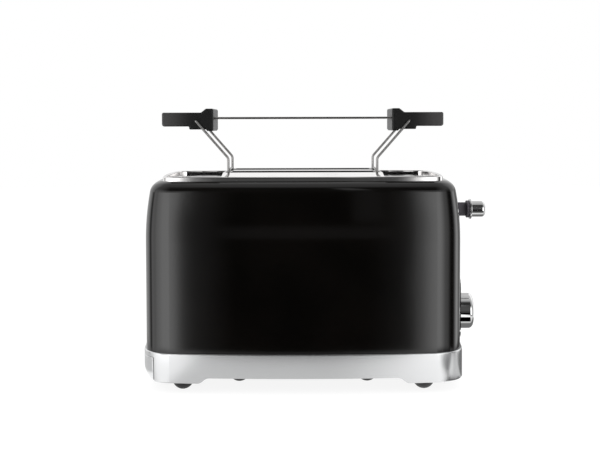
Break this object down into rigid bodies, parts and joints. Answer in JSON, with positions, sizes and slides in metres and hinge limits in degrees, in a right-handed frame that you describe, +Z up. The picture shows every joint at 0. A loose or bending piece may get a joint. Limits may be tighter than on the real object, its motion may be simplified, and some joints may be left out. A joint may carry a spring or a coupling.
{
  "type": "toaster",
  "caption": "Free-standing toaster with twin bread slots, sprung lever and carriage, browning dial, push buttons, crumb tray, closing bread guards and a lift-off wire bun rack.",
  "frame": {"origin": "middle of the object's outside box, on the surface that the feet stand on", "axes": "+X to the lever end, +Y to the back, +Z up"},
  "size_m": [0.3342, 0.169, 0.2643],
  "materials": {
    "body_black": "high-gloss black enamel",
    "chrome_trim": "polished chrome",
    "top_steel": "mirror-polished steel sheet",
    "pan_plastic": "black moulded plastic, fine grain",
    "foot_rubber": "soft black rubber",
    "screw_steel": "zinc-plated",
    "tray_steel": "thin bright sheet",
    "chassis_steel": "galvanised sheet",
    "heater_board": "mica sheet",
    "heater_ribbon": "oxidised resistance ribbon",
    "guard_wire": "bright drawn wire",
    "spring_steel": "spring wire",
    "lever_plastic": "dark grey moulded plastic",
    "knob_chrome": "polished chrome",
    "marker_black": "black inlay",
    "magnet_iron": "soft iron",
    "coil_copper": "enamelled winding",
    "terminal_plastic": "heat-proof moulding",
    "contact_brass": "spring brass",
    "board_green": "circuit board laminate",
    "component_black": "moulded components",
    "lead_sleeve": "sleeved lead",
    "rack_wire": "chromed wire",
    "rack_plastic": "black moulded plastic, satin",
    "button_plastic": "chromed plastic"
  },
  "bodies": {
    "case": {"base_pan": "pan_plastic", "base_screws": "screw_steel", "board_components": "component_black", "body_shell": "body_black", "chassis_plate_left": "chassis_steel", "chassis_plate_right": "chassis_steel", "contact_block": "terminal_plastic", "contact_leaves": "contact_brass", "control_board": "board_green", "control_panel": "chrome_trim", "cord_gland": "pan_plastic", "guide_rods": "screw_steel", "heat_shield_front": "chassis_steel", "heat_shield_rear": "chassis_steel", "heater_board_centre": "heater_board", "heater_board_front": "heater_board", "heater_board_rear": "heater_board", "heater_leads": "lead_sleeve", "heater_winding_centre": "heater_ribbon", "heater_winding_front": "heater_ribbon", "heater_winding_rear": "heater_ribbon", "inner_feet": "foot_rubber", "magnet_bracket": "chassis_steel", "magnet_coil": "coil_copper", "magnet_core": "magnet_iron", "mains_leads": "lead_sleeve", "outer_feet": "foot_rubber", "potentiometer": "component_black", "push_switches": "component_black", "return_spring": "spring_steel", "skirt": "chrome_trim", "terminal_block": "terminal_plastic", "top_bracket": "chassis_steel", "top_plate": "top_steel"},
    "carriage": {"carriage_bracket": "chassis_steel", "bread_lift_front": "guard_wire", "bread_lift_rear": "guard_wire", "lever_arm": "lever_plastic", "lever_collar": "knob_chrome", "lever_knob": "knob_chrome", "armature": "magnet_iron"},
    "browning_dial": {"browning_knob": "knob_chrome", "knob_marker": "marker_black", "knob_shaft": "screw_steel"},
    "cancel_button": {"button_cancel": "button_plastic"},
    "reheat_button": {"button_reheat": "button_plastic"},
    "defrost_button": {"button_defrost": "button_plastic"},
    "crumb_drawer": {"crumb_tray": "tray_steel", "crumb_tray_front": "chrome_trim"},
    "bun_rack": {"rack_wires": "rack_wire", "rack_leg_left": "rack_wire", "rack_leg_right": "rack_wire", "rack_handle_left": "rack_plastic", "rack_handle_right": "rack_plastic"},
    "guard_front_outer": {"bread_guard_front_outer": "guard_wire"},
    "guard_front_inner": {"bread_guard_front_inner": "guard_wire"},
    "guard_rear_inner": {"bread_guard_rear_inner": "guard_wire"},
    "guard_rear_outer": {"bread_guard_rear_outer": "guard_wire"}
  },
  "joints": [
    {"name": "lever_slide", "type": "slide", "parent": "case", "child": "carriage", "axis": [0, 0, -1], "range_m": [0, 0.055], "stiffness_N_per_m": 130, "springref_m": -0.045, "deforming": ["return_spring"]},
    {"name": "browning_turn", "type": "hinge", "parent": "case", "child": "browning_dial", "pos_m": [0.13715, 0, 0.0625], "axis": [1, 0, 0], "range_deg": [-130, 130]},
    {"name": "crumb_tray_slide", "type": "slide", "parent": "case", "child": "crumb_drawer", "axis": [-1, 0, 0], "range_m": [0, 0.235]},
    {"name": "bun_rack_lift", "type": "slide", "parent": "case", "child": "bun_rack", "axis": [0, 0, 1], "range_m": [0, 0.04]},
    {"name": "cancel_press", "type": "slide", "parent": "case", "child": "cancel_button", "axis": [-1, 0, 0], "range_m": [0, 0.002], "stiffness_N_per_m": 500, "springref_m": -0.001},
    {"name": "reheat_press", "type": "slide", "parent": "case", "child": "reheat_button", "axis": [-1, 0, 0], "range_m": [0, 0.002], "stiffness_N_per_m": 500, "springref_m": -0.001},
    {"name": "defrost_press", "type": "slide", "parent": "case", "child": "defrost_button", "axis": [-1, 0, 0], "range_m": [0, 0.002], "stiffness_N_per_m": 500, "springref_m": -0.001},
    {"name": "guard_front_outer_close", "type": "slide", "parent": "case", "child": "guard_front_outer", "axis": [0, 1, 0], "range_m": [0, 0.007]},
    {"name": "guard_front_inner_close", "type": "slide", "parent": "case", "child": "guard_front_inner", "axis": [0, -1, 0], "range_m": [0, 0.007]},
    {"name": "guard_rear_inner_close", "type": "slide", "parent": "case", "child": "guard_rear_inner", "axis": [0, 1, 0], "range_m": [0, 0.007]},
    {"name": "guard_rear_outer_close", "type": "slide", "parent": "case", "child": "guard_rear_outer", "axis": [0, -1, 0], "range_m": [0, 0.007]}
  ],
  "couplings": [
    {"joint": "guard_front_outer_close", "follows": "lever_slide", "ratio": 0.12725},
    {"joint": "guard_front_inner_close", "follows": "lever_slide", "ratio": 0.12725},
    {"joint": "guard_rear_inner_close", "follows": "lever_slide", "ratio": 0.12725},
    {"joint": "guard_rear_outer_close", "follows": "lever_slide", "ratio": 0.12725}
  ]
}
